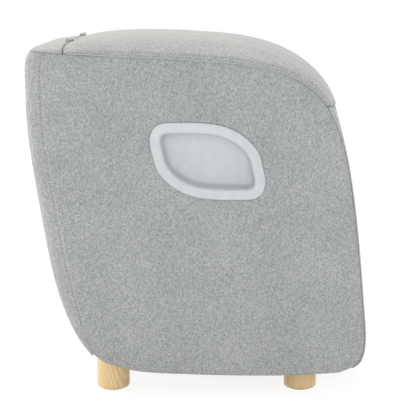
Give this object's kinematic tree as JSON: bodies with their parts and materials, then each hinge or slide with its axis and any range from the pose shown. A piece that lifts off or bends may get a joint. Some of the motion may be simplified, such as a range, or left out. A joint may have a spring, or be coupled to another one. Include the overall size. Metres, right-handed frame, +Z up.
{
  "type": "massage stool",
  "caption": "Upholstered footstool on wooden peg feet; its padded lid opens on foot wells with powered rollers and air cells.",
  "frame": {"origin": "on the floor, under the centre of the stool", "axes": "+X to the front, where the user sits, +Z up, left is -Y"},
  "size_m": [0.44, 0.4062, 0.4701],
  "materials": {
    "side_fabric": "matt melange",
    "lid_fabric": "matt melange",
    "board": "raw plywood",
    "bumper_rubber": "matt",
    "steel": "zinc plated",
    "foot_wood": "clear satin lacquer",
    "felt": "felt",
    "handle_plastic": "satin",
    "inner_plastic": "fine texture",
    "liner_fabric": "knitted",
    "cell_rubber": "matt",
    "roller_rubber": "matt",
    "gear_plastic": "moulded acetal",
    "motor_metal": "satin",
    "bronze": "sintered",
    "bracket_paint": "satin",
    "pump_plastic": "fine texture",
    "hose_rubber": "translucent matt",
    "circuit_board": "solder mask",
    "panel_plastic": "gloss",
    "button_red": "gloss",
    "button_white": "gloss",
    "rocker_red": "gloss",
    "wire_rubber": "matt"
  },
  "bodies": {
    "body": {"left_side_cover": "side_fabric", "right_side_cover": "side_fabric", "rear_cover": "side_fabric", "front_cover": "lid_fabric", "rear_lip": "lid_fabric", "left_side_board": "board", "right_side_board": "board", "rear_board": "board", "front_board": "board", "base_board": "board", "lip_rail": "board", "hinge_body_leaves": "steel", "hinge_pins": "steel", "body_screws": "steel", "rear_left_foot": "foot_wood", "rear_right_foot": "foot_wood", "front_left_foot": "foot_wood", "front_right_foot": "foot_wood", "foot_pads": "felt", "foot_bolts": "steel", "foot_nuts": "steel", "left_handle_cup": "handle_plastic", "right_handle_cup": "handle_plastic", "handle_frames": "inner_plastic", "top_deck": "inner_plastic", "left_well_shell": "inner_plastic", "right_well_shell": "inner_plastic", "left_boot_liner": "liner_fabric", "right_boot_liner": "liner_fabric", "air_cells": "cell_rubber", "idler_axle": "steel", "gear_motor": "motor_metal", "gearbox_left_half": "inner_plastic", "gearbox_right_half": "inner_plastic", "shaft_bushes": "bronze", "bearing_brackets": "bracket_paint", "air_pump": "pump_plastic", "air_hoses": "hose_rubber", "control_board": "circuit_board", "control_panel": "panel_plastic", "power_inlet": "pump_plastic", "wiring": "wire_rubber"},
    "lid": {"lid_cushion": "lid_fabric", "lid_board": "board", "lid_bumpers": "bumper_rubber", "hinge_lid_leaves": "steel", "lid_screws": "steel"},
    "heel_drive": {"heel_roller_shaft": "steel", "heel_rollers": "roller_rubber", "heel_gear": "gear_plastic"},
    "toe_drive": {"toe_roller_shaft": "steel", "toe_rollers": "roller_rubber", "toe_gear": "gear_plastic"},
    "idler": {"idler_gear": "gear_plastic"},
    "pinion": {"drive_pinion": "gear_plastic"},
    "power_key": {"power_button": "button_red"},
    "mode_key": {"mode_button": "button_white"},
    "air_key": {"air_button": "button_white"},
    "heat_key": {"heat_button": "button_white"},
    "power_switch": {"power_rocker": "rocker_red"}
  },
  "joints": [
    {"name": "lid_hinge", "type": "hinge", "parent": "body", "child": "lid", "pos_m": [-0.17116, 0, 0.45754], "axis": [0, -1, 0], "range_deg": [0, 100]},
    {"name": "heel_roller_spin", "type": "hinge", "parent": "body", "child": "heel_drive", "pos_m": [0.02102, 0, 0.11076], "axis": [0, 1, 0], "continuous": true},
    {"name": "toe_roller_spin", "type": "hinge", "parent": "body", "child": "toe_drive", "pos_m": [-0.06903, 0, 0.1519], "axis": [0, 1, 0], "continuous": true},
    {"name": "idler_spin", "type": "hinge", "parent": "body", "child": "idler", "pos_m": [-0.024, 0, 0.13133], "axis": [0, 1, 0], "continuous": true},
    {"name": "pinion_spin", "type": "hinge", "parent": "body", "child": "pinion", "pos_m": [-0.0399, 0, 0.09654], "axis": [0, 1, 0], "continuous": true},
    {"name": "power_press", "type": "slide", "parent": "body", "child": "power_key", "axis": [-0.0513, 0, -0.9987], "range_m": [0, 0.001], "stiffness_N_per_m": 400},
    {"name": "mode_press", "type": "slide", "parent": "body", "child": "mode_key", "axis": [-0.0513, 0, -0.9987], "range_m": [0, 0.001], "stiffness_N_per_m": 400},
    {"name": "air_press", "type": "slide", "parent": "body", "child": "air_key", "axis": [-0.0513, 0, -0.9987], "range_m": [0, 0.001], "stiffness_N_per_m": 400},
    {"name": "heat_press", "type": "slide", "parent": "body", "child": "heat_key", "axis": [-0.0513, 0, -0.9987], "range_m": [0, 0.001], "stiffness_N_per_m": 400},
    {"name": "power_rocker_tilt", "type": "hinge", "parent": "body", "child": "power_switch", "pos_m": [-0.177, 0.015, 0.13739], "axis": [0, -1, 0], "range_deg": [0, 16]}
  ],
  "couplings": [
    {"joint": "idler_spin", "follows": "heel_roller_spin", "ratio": -0.83333},
    {"joint": "toe_roller_spin", "follows": "heel_roller_spin", "ratio": 1},
    {"joint": "pinion_spin", "follows": "heel_roller_spin", "ratio": 2}
  ]
}
